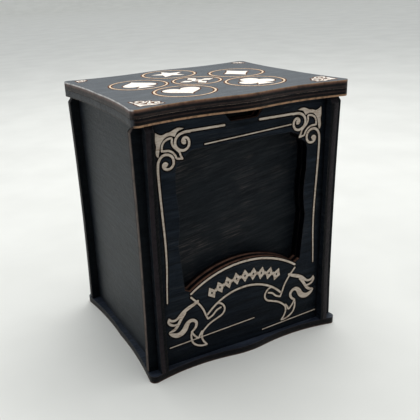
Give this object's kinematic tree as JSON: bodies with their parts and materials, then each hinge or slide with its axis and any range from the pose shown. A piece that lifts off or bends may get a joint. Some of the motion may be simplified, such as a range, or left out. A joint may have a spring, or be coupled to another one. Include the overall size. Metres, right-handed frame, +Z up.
{
  "type": "card deck box",
  "caption": "Upright plywood box for a deck of cards, with crossed corner panels, a framed window recess in front, a wavy base plate and a lift-off lid.",
  "frame": {"origin": "middle of the underside of the base plate, where the box stands", "axes": "+X to the right seen from the engraved front, +Y from the front to the back, +Z up through the lid"},
  "size_m": [0.089, 0.077, 0.106],
  "materials": {
    "stained_plywood": "matte black stain",
    "lid_plywood": "satin black stain",
    "engraved_wood": "bare engraved wood",
    "burnt_edge": "laser cut edge"
  },
  "bodies": {
    "box": {"base_plate": "stained_plywood", "front_frame": "stained_plywood", "front_liner": "stained_plywood", "front_backing": "stained_plywood", "back_panel": "stained_plywood", "left_side_panel": "stained_plywood", "right_side_panel": "stained_plywood"},
    "lid": {"lid_top_plate": "lid_plywood", "lid_lower_plate": "lid_plywood", "lid_plug_plate": "lid_plywood"}
  },
  "joints": [
    {"name": "lid_lift", "type": "slide", "parent": "box", "child": "lid", "axis": [0, 0, 1], "range_m": [0, 0.08]}
  ]
}
